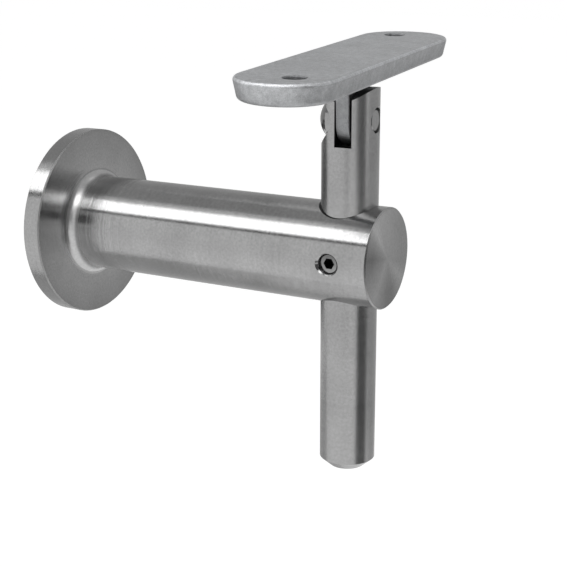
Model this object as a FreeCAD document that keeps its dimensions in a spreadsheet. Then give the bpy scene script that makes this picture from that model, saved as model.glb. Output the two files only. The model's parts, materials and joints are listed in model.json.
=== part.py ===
"""Adjustable handrail bracket in stainless steel, fixed to a wall.

Five real pieces, in millimetres, +Z up, with the origin at the centre of the
flange's back face:
  wall_arm      flange and arm, turned from one bar along +X
  set_screw     grub screw that clamps the rod in the arm's cross bore
  support_rod   upright rod with a fork at its top
  pivot_screw   screw through the fork, on which the saddle tilts
  saddle        cast oblong plate with a tongue, screwed under the handrail
"""
import FreeCAD, Part
import os
import re

from FreeCAD import Vector
import Sketcher

doc = FreeCAD.newDocument("handrail_bracket")

X, Z = Vector(1, 0, 0), Vector(0, 0, 1)
ORIGIN = "create(<<vector>>; 0; 0; 0)"

# ---------------------------------------------------------------- the sizes
SIZES = {
    # wall arm
    "flange_diameter": 50,
    "flange_thickness": 5,
    "arm_diameter": 25,
    "arm_reach": 92,
    "root_fillet": 2.5,
    "edge_break": 0.3,
    "rod_from_arm_end": 10.2,
    "wall_thread_diameter": 6.8,
    "wall_thread_depth": 25,
    # rod and fork
    "rod_diameter": 14,
    "rod_slip": 0.08,
    "rod_below_arm_axis": 55.3,
    "rod_end_chamfer_width": 2.5,
    "rod_end_chamfer_height": 2.2,
    "pivot_height": 33.2,
    "rod_swivel": 4,
    "fork_slot": 4.2,
    "slot_shift": 0.7,
    "slot_cutter_diameter": 70,
    "slot_floor_below_pivot": 6.6,
    "ear_radius": 9.2,
    "ear_top_above_pivot": 7.85,
    # pivot screw
    "pivot_diameter": 6,
    "pivot_slip": 0.05,
    "thread_slip": 0.02,
    "shank_hole_slip": 0.15,
    "head_diameter": 10.5,
    "head_rim": 2,
    "head_dome": 2.85,
    "head_seat_from_axis": 2.5,
    "head_pocket_diameter": 13.2,
    "pivot_length": 8.8,
    "pivot_socket": 4,
    "pivot_socket_depth": 2.2,
    "thread_mouth_diameter": 6.8,
    "point_chamfer": 0.6,
    "seat_gap": 0.02,
    # set screw
    "grub_diameter": 5,
    "grub_length": 4,
    "grub_socket": 2.5,
    "grub_socket_depth": 2,
    "grub_mouth_diameter": 6.1,
    "grub_tip_gap": 0.05,
    # saddle
    "saddle_tilt": 2.3,
    "plate_lean": 1.5,
    "plate_length": 94.5,
    "plate_width": 23.2,
    "plate_thickness": 5.05,
    "plate_top_above_pivot": 15.4,
    "plate_draft": 12,
    "plate_top_round": 0.8,
    "plate_bottom_round": 1.2,
    "screw_hole_diameter": 5.6,
    "screw_hole_from_end": 9.5,
    "screw_hole_stagger": 5.6,
    "tongue_thickness": 3.5,
    "tongue_radius": 6.4,
    "tongue_shift": 0.4,
    "tongue_root_radius": 5.5,
    "tongue_edge_chamfer": 0.2,
}

# Lengths that follow from the ones above.
FOLLOWING = {
    "rod_offset": "=arm_reach - rod_from_arm_end",
    "rod_foot": "=-pivot_height - rod_below_arm_axis",
    "plate_underside": "=plate_top_above_pivot - plate_thickness",
    "plate_middle": "=plate_top_above_pivot - plate_thickness / 2",
    "plate_foot_half": "=plate_width / 2 - plate_thickness * tan(plate_draft)",
    "end_round_centre": "=(plate_length - plate_width) / 2",
    "screw_hole_along": "=plate_length / 2 - screw_hole_from_end",
    "screw_hole_aside": "=screw_hole_stagger / 2",
    "ear_centre": "=ear_top_above_pivot - ear_radius",
    "pivot_aside": "=plate_top_above_pivot * tan(plate_lean)",
}

sheet = doc.addObject("Spreadsheet::Sheet", "sizes")
for row, (name, value) in enumerate({**SIZES, **FOLLOWING}.items(), start=1):
    sheet.set(f"A{row}", name)
    sheet.set(f"B{row}", str(value))
    sheet.setAlias(f"B{row}", name)
doc.recompute()


def size(formula):
    """An expression in which every name of the sheet is looked up in it."""
    names = {**SIZES, **FOLLOWING}
    return re.sub(
        "[a-z_]+", lambda word: f"sizes.{word[0]}" if word[0] in names else word[0], formula)


def value_of(formula):
    """What a formula of the sheet's names comes to, worked out by the sheet."""
    sheet.set("D1", f"={formula}")
    sheet.recompute()
    return float(sheet.get("D1"))


# ---------------------------------------------------- small modelling tools
def new_body(name):
    body = doc.addObject("PartDesign::Body", name)
    body.Label = name
    return body


def new_sketch(body, name, plane, offset=None):
    """A sketch on one of the body's own planes, moved along its normal."""
    sketch = body.newObject("Sketcher::SketchObject", name)
    origin_plane = next(f for f in body.Origin.OriginFeatures if f.Role == plane)
    sketch.AttachmentSupport = [(origin_plane, "")]
    sketch.MapMode = "FlatFace"
    if offset:
        sketch.setExpression("AttachmentOffset.Base.z", size(offset))
    return sketch


def bind(sketch, kind, place, formula):
    """A driving dimension whose value comes from the sheet."""
    index = sketch.addConstraint(Sketcher.Constraint(kind, *place, value_of(formula)))
    sketch.setExpression(f"Constraints[{index}]", size(formula))


def add_circle(sketch, diameter, x="0", y="0"):
    middle = Vector(value_of(x), value_of(y), 0)
    circle = sketch.addGeometry(Part.Circle(middle, Z, value_of(diameter) / 2))
    place_point(sketch, circle, 3, x, y)
    bind(sketch, "Diameter", (circle,), diameter)


def add_outline(sketch, points):
    """Straight outline through points, each given as two formulas."""
    places = [Vector(value_of(x), value_of(y), 0) for x, y in points]
    lines = []
    for start, end in zip(places, places[1:] + places[:1]):
        lines.append(sketch.addGeometry(Part.LineSegment(start, end)))
    for line, following in zip(lines, lines[1:] + lines[:1]):
        sketch.addConstraint(Sketcher.Constraint("Coincident", line, 2, following, 1))
    for line, (x, y) in zip(lines, points):
        place_point(sketch, line, 1, x, y)
    return lines


def place_point(sketch, geometry, vertex, x, y):
    """Tie a vertex to the sketch's origin by formulas (0 puts it on an axis)."""
    if x == "0":
        sketch.addConstraint(Sketcher.Constraint("PointOnObject", geometry, vertex, -2))
    else:
        bind(sketch, "DistanceX", (-1, 1, geometry, vertex), x)
    if y == "0":
        sketch.addConstraint(Sketcher.Constraint("PointOnObject", geometry, vertex, -1))
    else:
        bind(sketch, "DistanceY", (-1, 1, geometry, vertex), y)


def volume(body):
    doc.recompute()
    return body.Shape.Volume


def cut(body, kind, name, sketch, **options):
    """A Pocket or Groove that is proved to take material away."""
    before = volume(body)
    feature = body.newObject(f"PartDesign::{kind}", name)
    feature.Profile = sketch
    for option, value in options.items():
        setattr(feature, option, value)
    if kind == "Groove":
        feature.Angle = 360
    if volume(body) >= before - 1e-3:
        raise RuntimeError(f"{body.Label}: {name} cuts nothing")
    return feature


def revolve(body, name, sketch, axis):
    feature = body.newObject("PartDesign::Revolution", name)
    feature.Profile = sketch
    feature.ReferenceAxis = (axis_of(body, axis), [""])
    feature.Angle = 360
    doc.recompute()
    return feature


def axis_of(body, role):
    return next(f for f in body.Origin.OriginFeatures if f.Role == role)


def edges_where(body, test):
    """Names of the body's edges that pass a test of their geometry."""
    doc.recompute()
    edges = enumerate(body.Shape.Edges, start=1)
    return [f"Edge{number}" for number, edge in edges if test(edge)]


def dress(body, kind, name, edges, amount):
    """A Fillet or Chamfer on named edges of the body's present tip."""
    if not edges:
        raise RuntimeError(f"{body.Label}: {name} finds no edge")
    base = body.Tip
    feature = body.newObject(f"PartDesign::{kind}", name)
    feature.Base = (base, edges)
    target = "Radius" if kind == "Fillet" else "Size"
    feature.setExpression(target, size(amount))
    doc.recompute()
    return feature


def is_ring(edge, axis, radius, along=None):
    """True for a circle about an axis of the body, with this radius and place."""
    curve = edge.Curve
    if not isinstance(curve, Part.Circle) or abs(curve.Radius - radius) > 1e-4:
        return False
    if abs(abs(curve.Axis.dot(axis)) - 1) > 1e-6:
        return False
    return along is None or abs(curve.Center.dot(axis) - along) < 1e-4


def hexagon(sketch, across_flats):
    """A regular hexagon about the sketch's origin, flats up and down."""
    half = f"{across_flats} / 2"
    corner = f"{across_flats} / 2 / cos(30)"
    points = [
        (corner, "0"),
        (f"{corner} / 2", half),
        (f"0 - {corner} / 2", half),
        (f"0 - {corner}", "0"),
        (f"0 - {corner} / 2", f"0 - {half}"),
        (f"{corner} / 2", f"0 - {half}"),
    ]
    return add_outline(sketch, points)


def add_upright_axis(sketch, x, y, length):
    """A construction line along the sketch's vertical, to turn a profile about."""
    foot = Vector(value_of(x), value_of(y), 0)
    head = foot + Vector(0, value_of(length), 0)
    line = sketch.addGeometry(Part.LineSegment(foot, head), True)
    sketch.addConstraint(Sketcher.Constraint("Vertical", line))
    place_point(sketch, line, 1, x, y)
    bind(sketch, "DistanceY", (line, 1, line, 2), length)


def twice_about_pivot_line(body, name, feature):
    """The feature again, half a turn round the body's Z axis."""
    pair = body.newObject("PartDesign::PolarPattern", name)
    pair.Originals = [feature]
    pair.Axis = (axis_of(body, "Z_Axis"), [""])
    pair.Angle = 360
    pair.Occurrences = 2
    body.Tip = pair
    doc.recompute()


# ------------------------------------------------------------- the wall arm
def make_wall_arm():
    """Flange and arm turned in one, then cross-bored for the rod."""
    body = new_body("wall_arm")
    profile = new_sketch(body, "turned_profile", "XZ_Plane")
    add_outline(profile, [
        ("0", "0"),
        ("0", "flange_diameter / 2"),
        ("flange_thickness", "flange_diameter / 2"),
        ("flange_thickness", "arm_diameter / 2"),
        ("arm_reach", "arm_diameter / 2"),
        ("arm_reach", "0"),
    ])
    revolve(body, "turned_bar", profile, "X_Axis")

    rim, neck = value_of("flange_diameter / 2"), value_of("arm_diameter / 2")
    face, reach = value_of("flange_thickness"), value_of("arm_reach")
    root = edges_where(body, lambda e: is_ring(e, X, neck, face))
    dress(body, "Fillet", "root", root, "root_fillet")
    outer = edges_where(body, lambda e: is_ring(e, X, rim) or is_ring(e, X, neck, reach))
    dress(body, "Chamfer", "broken_edges", outer, "edge_break")

    bore = new_sketch(body, "rod_bore_circle", "XY_Plane")
    add_circle(bore, "rod_diameter + 2 * rod_slip", "rod_offset")
    cut(body, "Pocket", "rod_bore", bore, Type="ThroughAll", Midplane=True)

    stud = new_sketch(body, "wall_thread_profile", "XZ_Plane")
    add_outline(stud, [
        ("0", "0"),
        ("0", "wall_thread_diameter / 2"),
        ("wall_thread_depth", "wall_thread_diameter / 2"),
        ("wall_thread_depth + wall_thread_diameter / 2 * tan(31)", "0"),
    ])
    cut(body, "Groove", "wall_thread", stud, ReferenceAxis=(axis_of(body, "X_Axis"), [""]))

    grub = new_sketch(body, "grub_thread_profile", "XY_Plane")
    surface = "arm_diameter / 2"
    thread = "( grub_diameter / 2 + thread_slip )"
    mouth = "grub_mouth_diameter / 2"
    lead = f"( {mouth} - {thread} )"
    add_outline(grub, [
        ("rod_offset", "0"),
        (f"rod_offset + {thread}", "0"),
        (f"rod_offset + {thread}", f"0 - ( {surface} - {lead} )"),
        (f"rod_offset + {mouth} + edge_break", f"0 - ( {surface} + edge_break )"),
        ("rod_offset", f"0 - ( {surface} + edge_break )"),
    ])
    add_upright_axis(grub, "rod_offset", "rod_diameter / 2", "grub_length")
    cut(body, "Groove", "grub_thread", grub, ReferenceAxis=(grub, ["Axis0"]))
    return body


# -------------------------------------------------------- the rod with fork
def make_support_rod():
    """Round bar, slotted by a disc cutter and rounded at the top for the saddle's tongue.

    Its own frame has its origin on the rod's axis at the pivot's height, and
    its X axis along the pivot.
    """
    body = new_body("support_rod")
    bar = new_sketch(body, "bar_profile", "XZ_Plane")
    add_outline(bar, [
        ("0", "rod_foot"),
        ("rod_diameter / 2 - rod_end_chamfer_width", "rod_foot"),
        ("rod_diameter / 2", "rod_foot + rod_end_chamfer_height"),
        ("rod_diameter / 2", "ear_top_above_pivot"),
        ("0", "ear_top_above_pivot"),
    ])
    revolve(body, "turned_bar", bar, "Z_Axis")

    slot = new_sketch(body, "slot_cutter", "YZ_Plane", "slot_shift")
    add_circle(slot, "slot_cutter_diameter", "0",
               "slot_cutter_diameter / 2 - slot_floor_below_pivot")
    sunk = cut(body, "Pocket", "slot", slot, Midplane=True)
    sunk.setExpression("Length", size("fork_slot"))

    ears = new_sketch(body, "ear_waste", "YZ_Plane")
    reach, wide = value_of("ear_radius"), value_of("2 * ear_radius")
    middle = Vector(0, value_of("ear_centre"), 0)
    arc = ears.addGeometry(Part.ArcOfCircle(Part.Circle(middle, Z, reach), 0, 3.14159265))
    corners = [("0 - 2 * ear_radius", "ear_centre"), ("0 - 2 * ear_radius", "2 * ear_radius"),
               ("2 * ear_radius", "2 * ear_radius"), ("2 * ear_radius", "ear_centre")]
    places = [Vector(-reach, middle.y, 0), Vector(-wide, middle.y, 0), Vector(-wide, wide, 0),
              Vector(wide, wide, 0), Vector(wide, middle.y, 0), Vector(reach, middle.y, 0)]
    lines = [ears.addGeometry(Part.LineSegment(a, b)) for a, b in zip(places, places[1:])]
    chain = [(arc, 2, lines[0], 1)]
    chain += [(a, 2, b, 1) for a, b in zip(lines, lines[1:])]
    chain += [(lines[-1], 2, arc, 1)]
    for ends in chain:
        ears.addConstraint(Sketcher.Constraint("Coincident", *ends))
    place_point(ears, arc, 3, "0", "ear_centre")
    for end in (1, 2):
        ears.addConstraint(Sketcher.Constraint("Horizontal", arc, end, arc, 3))
    bind(ears, "Radius", (arc,), "ear_radius")
    for line, (x, y) in zip(lines[1:], corners):
        place_point(ears, line, 1, x, y)
    cut(body, "Pocket", "round_ears", ears, Type="ThroughAll", Midplane=True)

    seat = new_sketch(body, "head_pocket_circle", "YZ_Plane", "0 - head_seat_from_axis")
    add_circle(seat, "head_pocket_diameter")
    cut(body, "Pocket", "head_pocket", seat, Type="ThroughAll")

    plain = new_sketch(body, "shank_hole_circle", "YZ_Plane")
    add_circle(plain, "pivot_diameter + 2 * shank_hole_slip")
    cut(body, "Pocket", "shank_hole", plain, Type="ThroughAll")

    thread = new_sketch(body, "pivot_thread_profile", "XZ_Plane")
    wall = "( pivot_diameter / 2 + thread_slip )"
    mouth = "thread_mouth_diameter / 2"
    surface = "rod_diameter / 2"
    add_outline(thread, [
        ("0", "0"),
        ("0", wall),
        (f"{surface} - ( {mouth} - {wall} )", wall),
        (f"{surface} + edge_break", f"{mouth} + edge_break"),
        (f"{surface} + edge_break", "0"),
    ])
    cut(body, "Groove", "pivot_thread", thread, ReferenceAxis=(axis_of(body, "X_Axis"), [""]))
    body.setExpression("Placement", seat_on_rod("pivot_height", "0"))
    return body


def seat_on_rod(height, tilt):
    """Placement on the rod's axis: turned with the rod, then tilted about the pivot."""
    spot = f"create(<<vector>>; sizes.rod_offset; 0; {size(height)})"
    turn = f"create(<<rotation>>; sizes.rod_swivel; 0; {size(tilt)})"
    return f"create(<<placement>>; {spot}; {turn})"


# ---------------------------------------------------------- the pivot screw
def make_pivot_screw():
    """Domed socket screw along the fork's X axis, its head on the wall side."""
    body = new_body("pivot_screw")
    profile = new_sketch(body, "screw_profile", "XZ_Plane")
    seat = "( 0 - head_seat_from_axis - seat_gap )"
    rim = f"( {seat} - head_rim )"
    shank = "pivot_diameter / 2"
    point = "( pivot_length - head_seat_from_axis )"
    outline = [
        (seat, "head_diameter / 2"),
        (seat, shank),
        (f"{point} - point_chamfer", shank),
        (point, f"{shank} - point_chamfer"),
        (point, "0"),
        (f"{rim} - head_dome", "0"),
        (rim, "head_diameter / 2"),
    ]
    places = [Vector(value_of(x), value_of(y), 0) for x, y in outline]
    lines = [profile.addGeometry(Part.LineSegment(a, b))
             for a, b in zip(places[:5], places[1:6])]
    crown, shoulder = places[5], places[6]
    chord = shoulder - crown
    dome_radius = chord.dot(chord) / (2 * chord.x)
    middle = Vector(crown.x + dome_radius, 0, 0)
    swing = (shoulder - middle).normalize() - X
    halfway = middle + swing.normalize() * dome_radius
    dome = profile.addGeometry(Part.Arc(crown, halfway, shoulder))
    rim_line = profile.addGeometry(Part.LineSegment(shoulder, places[0]))
    chain = [(a, 2, b, 1) for a, b in zip(lines, lines[1:])]
    for ends in chain:
        profile.addConstraint(Sketcher.Constraint("Coincident", *ends))
    for line, (x, y) in zip(lines, outline):
        place_point(profile, line, 1, x, y)
    place_point(profile, lines[-1], 2, *outline[5])
    near_crown = profile.getPoint(dome, 1).distanceToPoint(crown) < 1e-6
    crown_end, shoulder_end = (1, 2) if near_crown else (2, 1)
    profile.addConstraint(Sketcher.Constraint("Coincident", dome, crown_end, lines[-1], 2))
    profile.addConstraint(Sketcher.Constraint("Coincident", dome, shoulder_end, rim_line, 1))
    profile.addConstraint(Sketcher.Constraint("Coincident", rim_line, 2, lines[0], 1))
    place_point(profile, rim_line, 1, *outline[6])
    profile.addConstraint(Sketcher.Constraint("PointOnObject", dome, 3, -1))
    revolve(body, "turned_screw", profile, "X_Axis")

    socket = new_sketch(body, "socket_outline", "YZ_Plane",
                        f"{rim} - head_dome + pivot_socket_depth")
    hexagon(socket, "pivot_socket")
    cut(body, "Pocket", "socket", socket, Type="ThroughAll")
    body.setExpression("Placement", seat_on_rod("pivot_height", "0"))
    return body


# ------------------------------------------------------------ the set screw
def make_set_screw():
    """Grub screw along +Y with a hex socket outside and a flat point on the rod."""
    body = new_body("set_screw")
    profile = new_sketch(body, "grub_profile", "XY_Plane")
    wide = "grub_diameter / 2"
    add_outline(profile, [
        ("0", "0"),
        (f"{wide} - point_chamfer", "0"),
        (wide, "0 - point_chamfer"),
        (wide, "0 - ( grub_length - edge_break )"),
        (f"{wide} - edge_break", "0 - grub_length"),
        ("0", "0 - grub_length"),
    ])
    revolve(body, "turned_grub", profile, "Y_Axis")
    socket = new_sketch(body, "grub_socket_outline", "XZ_Plane",
                        "grub_length - grub_socket_depth")
    hexagon(socket, "grub_socket")
    cut(body, "Pocket", "grub_socket_cut", socket, Type="ThroughAll", Reversed=True)
    spot = "create(<<vector>>; sizes.rod_offset; " + size(
        "0 - ( rod_diameter / 2 + grub_tip_gap )") + "; 0)"
    body.setExpression("Placement", f"create(<<placement>>; {spot}; create(<<rotation>>; 0; 0; 0))")
    return body


# --------------------------------------------------------------- the saddle
def make_saddle():
    """Oblong cast plate on a tongue that isn't quite square to it.

    Its own frame has Z up through the middle of the plate and square to it,
    its origin level with the pivot, and Y along the handrail.
    """
    body = new_body("saddle")
    tongue = new_sketch(body, "tongue_outline", "YZ_Plane")
    tongue.setExpression("AttachmentOffset", on_tongue("tongue_shift"))
    side = value_of("tongue_radius")
    low = value_of("plate_underside - tongue_root_radius")
    high = value_of("plate_underside")
    lid = value_of("plate_middle")
    flare = value_of("tongue_root_radius")
    pi = 3.14159265358979
    foot = tongue.addGeometry(Part.ArcOfCircle(Part.Circle(Vector(), Z, side), pi, 2 * pi))
    right = tongue.addGeometry(Part.LineSegment(Vector(side, 0, 0), Vector(side, low, 0)))
    right_root = tongue.addGeometry(Part.ArcOfCircle(
        Part.Circle(Vector(side + flare, low, 0), Z, flare), pi / 2, pi))
    right_end = tongue.addGeometry(Part.LineSegment(
        Vector(side + flare, high, 0), Vector(side + flare, lid, 0)))
    roof = tongue.addGeometry(Part.LineSegment(
        Vector(side + flare, lid, 0), Vector(-side - flare, lid, 0)))
    left_end = tongue.addGeometry(Part.LineSegment(
        Vector(-side - flare, lid, 0), Vector(-side - flare, high, 0)))
    left_root = tongue.addGeometry(Part.ArcOfCircle(
        Part.Circle(Vector(-side - flare, low, 0), Z, flare), 0, pi / 2))
    left = tongue.addGeometry(Part.LineSegment(Vector(-side, low, 0), Vector(-side, 0, 0)))
    joins = [(foot, 2, right, 1), (right, 2, right_root, 2), (right_root, 1, right_end, 1),
             (right_end, 2, roof, 1), (roof, 2, left_end, 1), (left_end, 2, left_root, 2),
             (left_root, 1, left, 1), (left, 2, foot, 1)]
    for ends in joins:
        tongue.addConstraint(Sketcher.Constraint("Coincident", *ends))
    tongue.addConstraint(Sketcher.Constraint("Coincident", foot, 3, -1, 1))
    tongue.addConstraint(Sketcher.Constraint("PointOnObject", foot, 1, -1))
    place_point(tongue, foot, 2, "tongue_radius", "0")
    for root, sign in ((right_root, ""), (left_root, "0 - ")):
        bind(tongue, "DistanceX", (-1, 1, root, 3), f"{sign}( tongue_radius + tongue_root_radius )")
        bind(tongue, "DistanceY", (-1, 1, root, 3), "plate_underside - tongue_root_radius")
        bind(tongue, "Radius", (root,), "tongue_root_radius")
    for root, level, upright in ((right_root, 2, 1), (left_root, 1, 2)):
        tongue.addConstraint(Sketcher.Constraint("Horizontal", root, 3, root, level))
        tongue.addConstraint(Sketcher.Constraint("Vertical", root, 3, root, upright))
    for end, vertex in ((right_end, 2), (left_end, 1)):
        tongue.addConstraint(Sketcher.Constraint("Vertical", end))
        bind(tongue, "DistanceY", (-1, 1, end, vertex), "plate_middle")
    pad = body.newObject("PartDesign::Pad", "tongue")
    pad.Profile = tongue
    pad.Midplane = True
    pad.setExpression("Length", size("tongue_thickness"))
    doc.recompute()

    across = Vector(value_of("cos(plate_lean)"), 0, value_of("sin(plate_lean)"))

    def is_profile_edge(edge):
        spots = [across.dot(corner.Point) for corner in edge.Vertexes]
        return max(spots) - min(spots) < 1e-6 and edge.BoundBox.ZMin < high - edge_clear
    edge_clear = value_of("tongue_edge_chamfer")
    dress(body, "Chamfer", "tongue_edges", edges_where(body, is_profile_edge), "tongue_edge_chamfer")

    section = new_sketch(body, "plate_section", "XZ_Plane")
    add_outline(section, [
        ("0 - plate_foot_half", "plate_underside"),
        ("plate_foot_half", "plate_underside"),
        ("plate_width / 2", "plate_top_above_pivot"),
        ("0 - plate_width / 2", "plate_top_above_pivot"),
    ])
    middle = body.newObject("PartDesign::Pad", "plate")
    middle.Profile = section
    middle.Midplane = True
    middle.setExpression("Length", size("2 * end_round_centre"))
    doc.recompute()

    half = new_sketch(body, "plate_end_section", "YZ_Plane")
    add_outline(half, [
        ("0 - end_round_centre", "plate_underside"),
        ("0 - end_round_centre - plate_foot_half", "plate_underside"),
        ("0 - end_round_centre - plate_width / 2", "plate_top_above_pivot"),
        ("0 - end_round_centre", "plate_top_above_pivot"),
    ])
    add_upright_axis(half, "0 - end_round_centre", "plate_top_above_pivot", "plate_thickness")
    end = body.newObject("PartDesign::Revolution", "plate_end")
    end.Profile = half
    end.ReferenceAxis = (half, ["Axis0"])
    end.Angle = 360
    doc.recompute()
    twice_about_pivot_line(body, "plate_ends", end)

    wide = value_of("plate_width")
    for name, level in (("plate_top_round", "plate_top_above_pivot"),
                        ("plate_bottom_round", "plate_underside")):
        height = value_of(level)

        def is_plate_rim(edge):
            box = edge.BoundBox
            aside = Vector(box.Center.x, box.Center.y, 0).Length
            flat = box.ZLength < 1e-3 and abs(box.ZMin - height) < 1e-3
            return flat and box.DiagonalLength > wide / 2 and aside > wide / 3
        dress(body, "Fillet", name, edges_where(body, is_plate_rim), name)

    hole = new_sketch(body, "screw_hole_circle", "XY_Plane", "plate_top_above_pivot")
    add_circle(hole, "screw_hole_diameter", "screw_hole_aside", "0 - screw_hole_along")
    first = cut(body, "Pocket", "screw_hole", hole, Type="ThroughAll")
    twice_about_pivot_line(body, "screw_hole_pair", first)

    eye = new_sketch(body, "pivot_eye_circle", "YZ_Plane")
    eye.setExpression("AttachmentOffset", on_tongue("0"))
    add_circle(eye, "pivot_diameter + 2 * pivot_slip")
    cut(body, "Pocket", "pivot_eye", eye, Type="ThroughAll", Midplane=True)
    pivot = "create(<<vector>>; 0 - sizes.pivot_aside; 0; 0)"
    level = "create(<<rotation>>; 0; 0; 0)"
    lean = f"create(<<placement>>; {ORIGIN}; create(<<rotation>>; 0; sizes.plate_lean; 0))"
    body.setExpression("Placement", seat_on_rod("pivot_height", "saddle_tilt")
                       + f" * {lean} * create(<<placement>>; {pivot}; {level})")
    return body


def on_tongue(shift):
    """Offset of a sketch plane square to the pivot, this far along the pivot."""
    along = size(f"pivot_aside + {shift} * cos(plate_lean)")
    up = size(f"{shift} * sin(plate_lean)")
    turn = "create(<<rotation>>; 0; 0; 0 - sizes.plate_lean)"
    return f"create(<<placement>>; create(<<vector>>; 0; {up}; {along}); {turn})"


bodies = [make_wall_arm(), make_set_screw(), make_support_rod(), make_pivot_screw(), make_saddle()]
doc.recompute()

# ------------------------------------------------------- proof, then export
for thing in doc.Objects:
    if "Invalid" in thing.State or "Error" in thing.State:
        raise RuntimeError(f"{thing.Name} failed: {thing.State}")

os.makedirs("parts", exist_ok=True)
for body in bodies:
    shape = body.Shape
    if shape.isNull() or not shape.isValid() or len(shape.Solids) != 1:
        raise RuntimeError(f"{body.Label} is not one valid solid")
    shape.exportStep(f"parts/{body.Label}.step")
    box = shape.BoundBox
    print(f"{body.Label:12s} {shape.Volume:10.1f} mm3  "
          f"x {box.XMin:.2f}..{box.XMax:.2f}  y {box.YMin:.2f}..{box.YMax:.2f}  "
          f"z {box.ZMin:.2f}..{box.ZMax:.2f}")
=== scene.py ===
# %% [markdown]
# # A handrail bracket in stainless steel
#
# The bracket holds a handrail off a wall. A round flange and a round arm are
# turned in one. An upright rod is clamped in the arm's end, and a cast saddle
# tilts in the rod's fork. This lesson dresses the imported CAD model: it gives
# each piece its finish, and builds a small studio around it.
#
# All shapes come from the CAD model, so nothing is modelled here. The frame
# hands over its pieces, their boxes and its joints in metres. The finishes are
# worked out in millimetres, the unit in which a maker thinks of a grinding mark.

# %% Start from the CAD model
import json
import math

import bpy
from mathutils import Matrix, Vector


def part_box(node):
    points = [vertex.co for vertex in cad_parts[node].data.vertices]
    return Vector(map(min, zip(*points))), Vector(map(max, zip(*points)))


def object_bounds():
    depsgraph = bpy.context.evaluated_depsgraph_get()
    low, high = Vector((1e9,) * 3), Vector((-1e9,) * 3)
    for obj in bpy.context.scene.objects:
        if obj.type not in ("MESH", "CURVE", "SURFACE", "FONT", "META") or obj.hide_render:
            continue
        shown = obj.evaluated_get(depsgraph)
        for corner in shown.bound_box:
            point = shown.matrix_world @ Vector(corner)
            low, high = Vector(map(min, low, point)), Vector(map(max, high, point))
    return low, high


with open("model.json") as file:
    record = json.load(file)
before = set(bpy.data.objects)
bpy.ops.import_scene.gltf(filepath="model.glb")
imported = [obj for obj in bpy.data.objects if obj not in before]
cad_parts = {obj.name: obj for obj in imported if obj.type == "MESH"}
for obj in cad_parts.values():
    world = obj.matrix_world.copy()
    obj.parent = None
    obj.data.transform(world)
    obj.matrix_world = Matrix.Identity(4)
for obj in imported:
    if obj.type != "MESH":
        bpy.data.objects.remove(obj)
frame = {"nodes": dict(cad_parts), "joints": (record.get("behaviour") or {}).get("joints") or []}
MM = 0.001
cad_low, cad_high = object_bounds()
nodes = frame["nodes"]
pivot_joint = next(joint for joint in frame["joints"] if joint["type"] == "hinge")
PIVOT = Vector(pivot_joint["pos_m"])
print("pieces:", ", ".join(sorted(nodes)))
print("size in mm:", [round(side / MM, 1) for side in cad_high - cad_low])

# %% [markdown]
# ## Writing shader sums the short way
#
# A finish is a small calculation: where am I on the bar, how deep is the
# grinding mark here, how rough does that make the steel. Such sums could be
# built node by node by hand. A small class that wraps one socket is shorter
# and easier to read, because Python's own signs then add the Math nodes.


# %% One value on its way through a material
class Wire:
    """A socket's value. Its signs add Math nodes, and node() adds any other."""

    def __init__(self, tree, socket):
        self.tree = tree
        self.socket = socket

    def node(self, kind, settings=(), inputs=(), output=0):
        """Adds a node: its settings first, then the value or link of each socket."""
        made = self.tree.nodes.new(kind)
        for name, value in dict(settings).items():
            if name == "stops":
                set_stops(made.color_ramp, value)
            else:
                setattr(made, name, value)
        for name, value in dict(inputs).items():
            if isinstance(value, Wire):
                self.tree.links.new(value.socket, made.inputs[name])
            else:
                made.inputs[name].default_value = value
        return Wire(self.tree, made.outputs[output])

    def maths(self, operation, first, second=0.0):
        """Any Math node. The signs below are short for the common ones."""
        return self.node("ShaderNodeMath", {"operation": operation}, {0: first, 1: second})

    def __add__(self, other):
        return self.maths("ADD", self, other)

    __radd__ = __add__

    def __sub__(self, other):
        return self.maths("SUBTRACT", self, other)

    def __rsub__(self, other):
        return self.maths("SUBTRACT", other, self)

    def __mul__(self, other):
        return self.maths("MULTIPLY", self, other)

    __rmul__ = __mul__

    def __truediv__(self, other):
        return self.maths("DIVIDE", self, other)

    def __pow__(self, other):
        return self.maths("POWER", self, other)


def set_stops(ramp, stops):
    """Gives a colour ramp its stops, each a place from 0 to 1 and a grey."""
    while len(ramp.elements) < len(stops):
        ramp.elements.new(1.0)
    for element, (place, grey) in zip(ramp.elements, stops):
        element.position = place
        element.color = (grey, grey, grey, 1)


print("wires ready")

# %% [markdown]
# ## Where a finish gets its place from
#
# Marks that should stay on the steel need a place that stays on the steel too.
# Object coordinates give that: they are the piece's own metres, and they move
# with it when the rod slides or the saddle tilts. Generated coordinates would
# stretch with each piece's box, so a mark would be wide on the arm and narrow
# on a screw. The place is scaled to millimetres once, for all the sums.


# %% A new finish with its place on the piece
def new_finish(name):
    """A metal material. Returns it, its shader, and the place on the piece in mm."""
    material = bpy.data.materials.new(name)
    material.use_nodes = True
    tree = material.node_tree
    shader = tree.nodes["Principled BSDF"]
    shader.inputs["Metallic"].default_value = 1.0
    place = Wire(tree, tree.nodes.new("ShaderNodeTexCoord").outputs["Object"])
    return material, shader, times(place, 1 / MM)


def times(vector, factor):
    """A place made longer, or a colour made darker or lighter, by a number."""
    return vector.node(
        "ShaderNodeVectorMath", {"operation": "SCALE"}, {0: vector, "Scale": factor})


def less(vector, other):
    """One place as seen from another."""
    return vector.node(
        "ShaderNodeVectorMath", {"operation": "SUBTRACT"}, {0: vector, 1: other})


def along_axes(place):
    """The three parts of a place."""
    parts = place.node("ShaderNodeSeparateXYZ", (), {0: place}).socket.node.outputs
    return [Wire(place.tree, parts[axis]) for axis in "XYZ"]


def along(place, direction):
    """How far a place lies in a direction."""
    return place.node(
        "ShaderNodeVectorMath", {"operation": "DOT_PRODUCT"}, {0: place, 1: direction}, "Value")


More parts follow.
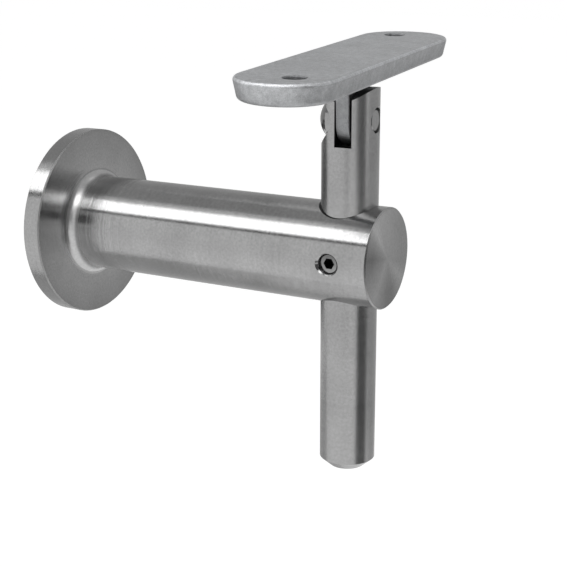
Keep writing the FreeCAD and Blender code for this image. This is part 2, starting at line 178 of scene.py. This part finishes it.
def noise(place, per_mm, **inputs):
    """Clouds of grey round 0.5. More Detail adds smaller clouds on top."""
    return place.node(
        "ShaderNodeTexNoise", (), {"Vector": place, "Scale": per_mm, **inputs}, "Fac")


def between(tone, low, high, factor):
    """A tone times low where the factor is 0, and times high where it is 1."""
    return factor.node(
        "ShaderNodeMix", {"data_type": "RGBA"},
        {"Factor": factor, "A": (*[low * part for part in tone], 1),
         "B": (*[high * part for part in tone], 1)}, "Result")


def bumps(height, strength, depth):
    """Unevenness too small to model: it only turns the light. The depth is in metres."""
    return height.node(
        "ShaderNodeBump", (), {"Strength": strength, "Distance": depth, "Height": height},
        "Normal")


def feed(shader, **links):
    """Links wires to the shader's sockets, with _ for the spaces in their names."""
    for name, wire in links.items():
        wire.tree.links.new(wire.socket, shader.inputs[name.replace("_", " ")])


print("helpers for finishes ready")

# %% [markdown]
# ## Masks, and places that look darker or lighter
#
# Clean steel isn't one even grey. Little light finds its way into the slot of
# the fork, a socket or the gap round the rod, so they get painted shade. A
# painted highlight brightens an edge, and the turned end gets painted wedges of
# light and shade, like a record. The lamps and the bump give only a part of this,
# so the rest is painted into the finish as light and shade.
#
# A mask picks such a place out: it is 1 there and 0 elsewhere. Two limits make
# a slice, and a distance from an axis makes a cylinder. Painting an image would
# also do, but it needs an unwrapped mesh, while a mask needs only a few sizes
# and stays sharp however near the camera comes.


# %% Masks
def below(value, limit):
    """1 where a value is under a limit."""
    return value.maths("LESS_THAN", value, limit)


def above(value, limit):
    """1 where a value is over a limit."""
    return value.maths("GREATER_THAN", value, limit)


def at_least(value, limit):
    """The value, or the limit where that is more."""
    return value.maths("MAXIMUM", value, limit)


def at_most(value, limit):
    """The value, or the limit where that is less."""
    return value.maths("MINIMUM", value, limit)


def either_side(value):
    """The value without its sign, for a mask that is the same on both sides."""
    return value.maths("ABSOLUTE", value)


def round_of(first, second):
    """The distance from an axis, out of the two parts across it."""
    return (first * first + second * second) ** 0.5


def darker(mask, part):
    """1 outside a mask, and the given part of that inside."""
    return 1.0 - mask * (1.0 - part)


print("masks ready")

# %% [markdown]
# ## Where the masks of the arm and the rod lie
#
# The arm lies along X with the wall at 0, so its masks need only two numbers: x
# and the distance across from its axis. The rod stands along Z through the
# pivot's place, which the frame gives. Its slot is cut across the pin, a little
# to one side of the rod's axis. The gap round the rod gets a dark line of painted
# shade, a touch wider towards the wall, because a real rod seldom stands in the
# middle of its bore.

# %% Sizes for the masks, in mm
ROD = PIVOT / MM
PIN = Vector(pivot_joint["axis"])
ARM_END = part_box("wall_arm")[1].x / MM
ARM_RADIUS, FLANGE_RADIUS, FLANGE_FACE = 12.5, 25.0, 5.0
EDGE_BREAK = 0.3
FILLET_ENDS = 3.0
PAST_FILLET = 14.5
ROD_RADIUS = 7.0
GAP_RADIUS, GAP_SHIFT = 7.28, 0.30
SLOT_HALF, SLOT_SHIFT, SLOT_DEPTH = 2.15, 0.7, 7.2
EAR_TOP = 2.0
print("arm's end at", round(ARM_END, 2), "mm, rod at", [round(part, 2) for part in ROD])

# %% [markdown]
# ## The arm's painted light and shade
#
# A turned face has rings too fine to model. They spread light across
# themselves, which draws wedges from the centre outwards. Anisotropy would be
# the textbook way, but on a flat face it needs a tangent for every point. Here
# the wedges are painted light and shade instead: a tone that follows the angle
# round the centre. Its stops go once round the arm, from 0 to 1, and the wedges
# fade towards the centre. The flange's face and the arm's root get painted
# light, and the gap round the rod a dark line of painted shade.

# %% The arm: gap, end face, flange and fillet
# Painted light and shade: wedges round the arm's end, one tone per stop.
END_WEDGES = [(0.0, 0.66), (0.05, 0.60), (0.14, 1.05), (0.20, 0.80), (0.57, 1.15),
              (0.61, 1.38), (0.65, 0.90), (0.72, 0.46), (0.89, 1.12), (1.0, 0.66)]
WEDGE_CENTRE, FULL_WEDGE = 0.6, 9.0
# Painted shade: a dark line round the rod where it enters the arm.
GAP_SHADE = 0.06
# Painted light: the arm lighter near its root, the flange's face lighter near the fillet.
ROOT_PAINTED_LIGHT, ROOT_REACH = 0.6, 20.0
FLANGE_PAINTED_LIGHT, FLANGE_FALL = 0.62, 0.028
FILLET_SOFT, EDGE_SOFT, FLANGE_SOFT = 0.16, 0.35, 0.01


def arm_shading(place):
    """The arm's painted light and shade at a place, and how much rougher it is."""
    x, y, z = along_axes(place)
    across = round_of(y, z)
    # The dark line of painted shade round the rod's gap.
    gap = below(round_of(x - (ROD.x - GAP_SHIFT), y), GAP_RADIUS)

    # Painted wedges of light and shade on the arm's end.
    turn = x.maths("ARCTAN2", 0.0 - y, z) / (2 * math.pi) + 0.5
    wedge = turn.node("ShaderNodeValToRGB", {"stops": END_WEDGES}, {"Fac": turn}, "Color")
    on_end = above(x, ARM_END - 0.4) * above(across, WEDGE_CENTRE)
    wedges = 1.0 + on_end * (wedge - 1.0) * at_most(across / FULL_WEDGE + 0.15, 1.1)

    # Painted light on the flange's face and on the arm near its root.
    on_flange = below(x, FLANGE_FACE + 0.2) * above(x, FLANGE_FACE - 0.5) * above(
        across, PAST_FILLET)
    near_root = above(x, FLANGE_FACE + 0.2) * at_least(1.0 - x / ROOT_REACH, 0.0)
    flange = 1.0 + on_flange * (FLANGE_PAINTED_LIGHT - FLANGE_FALL * across)
    root = 1.0 + ROOT_PAINTED_LIGHT * near_root

    fillet = above(x, FLANGE_FACE + 0.04) * below(x, FLANGE_FACE + FILLET_ENDS)
    end_edge = above(x, ARM_END - EDGE_BREAK - 0.04) * above(across, ARM_RADIUS - EDGE_BREAK - 0.05)
    flange_edge = above(x, FLANGE_FACE - EDGE_BREAK - 0.04) * above(
        across, FLANGE_RADIUS - EDGE_BREAK - 0.1)
    rougher = FILLET_SOFT * fillet + EDGE_SOFT * (end_edge + flange_edge)
    return darker(gap, GAP_SHADE) * wedges * root * flange, rougher + FLANGE_SOFT * on_flange


print("the arm's end has", len(END_WEDGES), "stops round it")

# %% The rod: slot and ears
# Painted shade: the fork's slot and the ears' tops under the saddle are darkened.
SLOT_SHADE, EAR_SHADE, SLOT_SOFT = 0.12, 0.42, 0.1


def rod_shading(place):
    """How much painted shade darkens the rod at a place, and how much rougher it is."""
    x, y, z = along_axes(place)
    inside = below(round_of(x - ROD.x, y - ROD.y), ROD_RADIUS - 0.07)
    sideways = (x - ROD.x) * PIN.x + (y - ROD.y) * PIN.y - SLOT_SHIFT
    slot = below(either_side(sideways), SLOT_HALF) * above(z, ROD.z - SLOT_DEPTH) * inside
    ear_top = above(z, ROD.z + EAR_TOP) * inside
    return darker(slot, SLOT_SHADE) * darker(ear_top, EAR_SHADE), SLOT_SOFT * slot


print("slot from", round(ROD.z - SLOT_DEPTH, 1), "mm up")

# %% [markdown]
# ## Satin steel from the lathe
#
# The arm and the rod are ground while they turn, so fine marks run round them
# like grooves on a record. On the flange's face and the arm's end the same
# marks are rings. One number serves both: the place along the bar plus the
# distance from its axis. It only changes across the marks, never along them.
# A 1D noise read with that number gives marks of uneven depth, as a belt
# leaves them. A Wave texture would be simpler, but it looks machine-made.
#
# The fine marks go into the bump, so that a highlight is sharp round the bar
# and drawn out along it. They are about a hundredth of a millimetre deep, as
# deeper ones turn the light so far that the steel goes streaky. Wider marks,
# clouds and grain change its tone a little, because real stock is uneven.

# %% Satin turned steel
FINE_MARKS, BROAD_MARKS = 14.0, 0.9


def turned_steel(name, bar_axis, centre, tone, gloss, depth, shading):
    """Ground steel whose marks run round a bar: bar_axis is 0 for X and 2 for Z.

    The bar's axis goes through centre. The marks are depth metres deep, and
    shading gives the painted light and shade of this bar's places.
    """
    material, shader, place = new_finish(name)
    parts = along_axes(less(place, centre / MM))
    lane = parts.pop(bar_axis) + round_of(*parts)

    def marks(per_mm, detail):
        return lane.node(
            "ShaderNodeTexNoise", {"noise_dimensions": "1D"},
            {"W": lane * per_mm, "Scale": 1.0, "Detail": detail, "Roughness": 0.6}, "Fac")

    fine, broad = marks(FINE_MARKS, 1.0), marks(BROAD_MARKS, 3.0)
    cloud, grain = noise(place, 0.09, Detail=3.0), noise(place, 1.6, Detail=3.0)
    shade = between(tone, 0.76, 1.24, 0.2 * broad + 0.8 * cloud + 0.8 * grain - 0.4)
    factor, rougher = shading(place)
    feed(shader,
         Base_Color=times(shade, factor),
         Roughness=gloss + 0.05 * broad + 0.05 * cloud + rougher,
         Normal=bumps(fine, 0.7, depth))
    return material


STEEL = (0.35, 0.35, 0.35)
ARM_GLOSS, ARM_DEPTH = 0.08, 0.000016
ROD_GLOSS, ROD_DEPTH = 0.20, 0.000007
arm_finish = turned_steel(
    "turned_arm_steel", 0, Vector(), STEEL, ARM_GLOSS, ARM_DEPTH, arm_shading)
rod_finish = turned_steel(
    "turned_rod_steel", 2, PIVOT, STEEL, ROD_GLOSS, ROD_DEPTH, rod_shading)
print("made", arm_finish.name, "and", rod_finish.name)

# %% [markdown]
# ## Tumbled cast steel
#
# The saddle is an investment casting. It is tumbled with stones until it is
# evenly dull, so its skin is a fine mottle and has no direction. Noises of
# three sizes do this: about a millimetre for the mottle, much finer for the
# grain that takes the shine away, and wide patches where the stones did less.
#
# A painted highlight makes the plate's upper edge brighter. Painted shade darkens
# the walls of its holes, the tongue below it, and the plate's sides towards the
# bottom. The plate leans and tilts a little, so its masks don't use x, y and z,
# but three directions of its own, seen from the pivot: up out of the plate,
# along the pin, and lengthwise.

# %% Dull cast steel
PLATE_UP = Vector((0.0289, -0.0382, 0.9989))
TONGUE_TOP, HOLE_FOOT, PLATE_TOP = 9.6, 10.4, 15.1
HOLE_REACH, HOLE_ENDS = 6.2, 41.0
# Painted shade on the tongue, the holes' walls and the plate's sides towards the bottom.
TONGUE_SHADE, HOLE_SHADE = 0.62, 0.45
SIDE_TOP, SIDE_FALL = 14.6, 0.05
# Painted highlight: a bright band along the plate's upper edge.
EDGE_HIGHLIGHT_FROM, EDGE_HIGHLIGHT_TO, EDGE_PAINTED_HIGHLIGHT = 14.7, 15.3, 0.3


def saddle_shading(place):
    """The saddle's painted light and shade at a place."""
    from_pin = less(place, ROD)
    up, across, lengthwise = [
        along(from_pin, way) for way in (PLATE_UP, PIN, PLATE_UP.cross(PIN))]
    middle = below(either_side(across), HOLE_REACH) * below(either_side(lengthwise), HOLE_ENDS)
    # Painted shade: the holes' walls, the tongue, and the sides darker towards the bottom.
    in_hole = middle * below(up, PLATE_TOP) * above(up, HOLE_FOOT)
    tongue = below(up, TONGUE_TOP)
    side = SIDE_FALL * at_least(SIDE_TOP - up, 0.0) * above(up, TONGUE_TOP)
    # The painted highlight along the plate's upper edge.
    painted_edge_highlight = EDGE_PAINTED_HIGHLIGHT * above(up, EDGE_HIGHLIGHT_FROM) * below(up, EDGE_HIGHLIGHT_TO)
    return darker(tongue, TONGUE_SHADE) * darker(in_hole, HOLE_SHADE) * (1.0 - side + painted_edge_highlight)


def cast_steel(name, tone):
    """Cast and tumbled steel: a mottle with no direction, and a soft sheen."""
    material, shader, place = new_finish(name)
    mottle, speck, patch = [
        noise(place, per_mm, Detail=detail, Roughness=0.65)
        for per_mm, detail in ((0.9, 4.0), (5.0, 2.0), (0.12, 2.0))]
    shade = between(tone, 0.68, 1.32, 1.3 * mottle + 1.5 * speck + 0.5 * patch - 1.15)
    feed(shader,
         Base_Color=times(shade, saddle_shading(place)),
         Roughness=0.42 + 0.2 * mottle,
         Normal=bumps(speck + 1.5 * mottle, 0.5, 0.00008))
    return material


saddle_finish = cast_steel("tumbled_cast_steel", (0.505, 0.513, 0.524))
print("made", saddle_finish.name)

# %% [markdown]
# ## Screw steel
#
# The two screws are bought ones: formed, then tumbled bright. They have no
# turning marks to speak of, only small dents and a slight unevenness of shine.
# The set screw sits deep in its hole, so its socket is painted nearly black with
# shade, and its face gets painted shade that darkens towards the top. Its axis
# runs along Y through the rod.

# %% Bright screw steel
SOCKET_RADIUS, SOCKET_FLOOR = 1.6, -10.9
FACE_RADIUS, FACE_FRONT = 2.6, -8.0
# Painted shade: the socket nearly black, the face darker towards the top.
SOCKET_SHADE, FACE_SHADE, FACE_FALL = 0.08, 0.72, 0.12


def screw_steel(name, tone):
    """Cold-formed screws, tumbled bright, with painted shade in the set screw's socket and on its
    face.
    """
    material, shader, place = new_finish(name)
    dents = noise(place, 1.4, Detail=3.0)
    x, y, z = along_axes(place)
    across = round_of(x - ROD.x, z)
    socket = below(across, SOCKET_RADIUS) * above(y, SOCKET_FLOOR)
    face = below(across, FACE_RADIUS) * below(y, FACE_FRONT)
    # Painted shade on the set screw's face and in its socket.
    shading = darker(face, FACE_SHADE - FACE_FALL * z) * darker(socket, SOCKET_SHADE)
    feed(shader,
         Base_Color=times(between(tone, 0.85, 1.15, dents), shading),
         Roughness=0.06 + 0.12 * dents,
         Normal=bumps(dents, 0.3, 0.00006))
    return material


screw_finish = screw_steel("bright_screw_steel", (0.31, 0.31, 0.31))
print("made", screw_finish.name)

# %% [markdown]
# ## Putting the finishes on
#
# The CAD pieces keep their shapes. Only what fills their material slots is
# changed, so the model stays exactly as long and as round as it was drawn.

# %% Each piece gets its finish
FINISHES = {
    "wall_arm": arm_finish,
    "support_rod": rod_finish,
    "saddle": saddle_finish,
    "pivot_screw": screw_finish,
    "set_screw": screw_finish,
}
for piece, finish in FINISHES.items():
    for slot in nodes[piece].material_slots:
        slot.material = finish
    print(piece, "wears", finish.name)

# %% [markdown]
# ## The studio
#
# Polished metal shows its surroundings, so the studio is half of the look.
# Below the bracket lies a pale floor, and round it a white room. The Light Path
# node tells what kind of ray asks: both are white to the camera, in reflections
# and through glass, and much weaker as a light. A brighter lamp would make the
# background white too, but it would also burn out the highlights.


# %% Floor
def seen_directly(tree):
    """1 where the camera, a reflection or glass looks at a surface, and 0 for its light."""
    path = tree.nodes.new("ShaderNodeLightPath").outputs
    camera, glossy, glass = [
        Wire(tree, path[f"Is {ray} Ray"]) for ray in ("Camera", "Glossy", "Transmission")]
    return at_least(camera, at_least(glossy, glass))


def plain_material(name, tone, glow):
    """A dull stage material, with an even glow for the camera and for reflections."""
    material = bpy.data.materials.new(name)
    material.use_nodes = True
    tree = material.node_tree
    shader = tree.nodes["Principled BSDF"]
    shader.inputs["Base Color"].default_value = (tone, tone, tone, 1)
    shader.inputs["Roughness"].default_value = 1.0
    shader.inputs["Specular IOR Level"].default_value = 0.0
    shader.inputs["Emission Color"].default_value = (1, 1, 1, 1)
    feed(shader, Emission_Strength=glow * seen_directly(tree))
    return material


def facing(centre, towards):
    """A place whose local Z looks at a point."""
    turn = (Vector(towards) - Vector(centre)).to_track_quat("Z", "Y")
    return Matrix.Translation(Vector(centre)) @ turn.to_matrix().to_4x4()


def card(name, centre, towards, width, height, material):
    """A flat rectangle that faces a point."""
    mesh = bpy.data.meshes.new(name)
    corners = [(-width / 2, -height / 2, 0), (width / 2, -height / 2, 0),
               (width / 2, height / 2, 0), (-width / 2, height / 2, 0)]
    mesh.from_pydata(corners, [], [(0, 1, 2, 3)])
    made = bpy.data.objects.new(name, mesh)
    bpy.context.scene.collection.objects.link(made)
    made.matrix_world = facing(centre, towards)
    mesh.materials.append(material)
    return made


FLOOR_DROP, FLOOR_SIDE = 0.30, 12.0
FLOOR_TONE, FLOOR_GLOW = 0.35, 0.88
floor_place = Vector((0, 0, cad_low.z - FLOOR_DROP))
card("floor", floor_place, floor_place + Vector((0, 0, 1)), FLOOR_SIDE, FLOOR_SIDE,
     plain_material("pale_floor", FLOOR_TONE, FLOOR_GLOW))
print("floor at", round(floor_place.z, 3), "m")

# %% [markdown]
# ## A lamp and some cards
#
# One long soft box hangs above the front and draws the white strip along the
# arm. A narrow black card under it gives the strip its sharp lower edge. Grey
# cards on the other sides make the dark bands of the round bars, and one beside
# the camera darkens the flange. Only reflections see the cards: they cast no
# shadow and stay out of the view. More lamps would make bands as well, but
# bright ones, and it is the dark bands that make steel look like steel.


# %% Soft box and cards
def towards(azimuth, elevation):
    """A direction from the bracket: azimuth 0 is the front (-Y), 90 is +X."""
    a, e = math.radians(azimuth), math.radians(elevation)
    return Vector((math.sin(a) * math.cos(e), -math.cos(a) * math.cos(e), math.sin(e)))


# The middle of the bracket, in metres: the lamp and the cards face it.
MIDDLE = Vector((0.05, 0, 0.01))


def soft_box(name, azimuth, elevation, distance, width, height, brightness):
    """An area lamp that faces the bracket; its brightness is 1 where it looks white."""
    lamp = bpy.data.lights.new(name, "AREA")
    lamp.shape = "RECTANGLE"
    lamp.size, lamp.size_y = width, height
    lamp.energy = brightness * math.pi * width * height
    made = bpy.data.objects.new(name, lamp)
    bpy.context.scene.collection.objects.link(made)
    place = facing(MIDDLE + distance * towards(azimuth, elevation), MIDDLE)
    # An area lamp shines down its own -Z, so it is turned round to face the bracket.
    made.matrix_world = place @ Matrix.Rotation(math.pi, 4, "Y")


def grey_card(name, azimuth, elevation, distance, width, height, tone):
    """A card that only reflections see."""
    made = card(name, MIDDLE + distance * towards(azimuth, elevation), MIDDLE, width, height,
                plain_material(name + "_grey", 0.0, tone))
    made.visible_camera = False
    made.visible_diffuse = False
    made.visible_shadow = False


# Azimuth and elevation in degrees, then distance, width and height in metres, then tone.
CARDS = {
    "strip_frame": (0, 37.6, 0.8, 2.0, 0.07, 0.0),
    "right_card_low": (84, -24, 0.6, 0.43, 0.24, 0.12),
    "right_card_high": (70, 14, 0.8, 0.60, 0.76, 0.14),
    "camera_card": (33, 12, 0.8, 0.32, 0.26, 0.0),
    "back_card": (150, 10, 0.55, 1.3, 1.2, 0.56),
    "left_card": (-125, 17, 0.8, 1.45, 1.2, 0.45),
    "left_card_low": (-113, -16, 0.7, 0.62, 0.10, 0.05),
    "front_card": (14, 8, 0.8, 0.24, 0.62, 0.68),
    "top_card": (0, 95, 0.9, 2.0, 0.50, 0.45),
    "low_card": (-110, -50, 0.36, 0.5, 0.30, 0.56),
}
soft_box("long_strip", 0, 55, 0.8, 2.0, 0.36, 2.4)
for name, numbers in CARDS.items():
    grey_card(name, *numbers)
print("one soft box and", len(CARDS), "cards")

# %% [markdown]
# ## The room
#
# The world fills in what no card covers. Where the camera or a reflection looks
# at it, it is plain white. On dull surfaces, such as the floor, its light is
# only about a third of that, so that the background stays even.

# %% White room
ROOM_LIGHT = 0.35
world = bpy.data.worlds.new("white_room")
bpy.context.scene.world = world
world.use_nodes = True
room = world.node_tree
backdrop = room.nodes["Background"]
backdrop.inputs["Color"].default_value = (1, 1, 1, 1)
strength = ROOM_LIGHT + (1 - ROOM_LIGHT) * seen_directly(room)
room.links.new(strength.socket, backdrop.inputs["Strength"])
print("room lit at", ROOM_LIGHT)

# %% [markdown]
# ## The camera
#
# It stands at the right front, a little above the arm, and looks down at it
# with a long lens. A small shift centres the view without turning the
# camera, so uprights keep their slant. Three angles give its direction: a turn
# about the upright, a dip below the level, and a slight lean to one side. They
# could be set as Euler angles, but three plain vectors show where it looks.

# %% Camera
EYE = Vector((0.21069, -0.26501, 0.07585))
TURN, DIP, LEAN = math.radians(28.95), math.radians(15.47), math.radians(-0.16)
SENSOR, LENS = 36.0, 78.55
SHIFT_X, SHIFT_Y = -0.0049, -0.0136

camera_data = bpy.data.cameras.new("camera")
camera_data.sensor_width, camera_data.lens = SENSOR, LENS
camera_data.shift_x, camera_data.shift_y = SHIFT_X, SHIFT_Y
camera_data.clip_start, camera_data.clip_end = 0.01, 50
camera = bpy.data.objects.new("camera", camera_data)
bpy.context.scene.collection.objects.link(camera)
bpy.context.scene.camera = camera

right = Vector((math.cos(TURN), math.sin(TURN), 0))
ahead = Vector((-math.sin(TURN) * math.cos(DIP), math.cos(TURN) * math.cos(DIP), -math.sin(DIP)))
upward = right.cross(ahead)
leaning_right = math.cos(LEAN) * right + math.sin(LEAN) * upward
leaning_up = math.cos(LEAN) * upward - math.sin(LEAN) * right
camera.matrix_world = Matrix.Translation(EYE) @ Matrix(
    (leaning_right, leaning_up, -ahead)).transposed().to_4x4()
bpy.context.scene.view_settings.view_transform = "Standard"
print("camera at", [round(part, 3) for part in EYE])
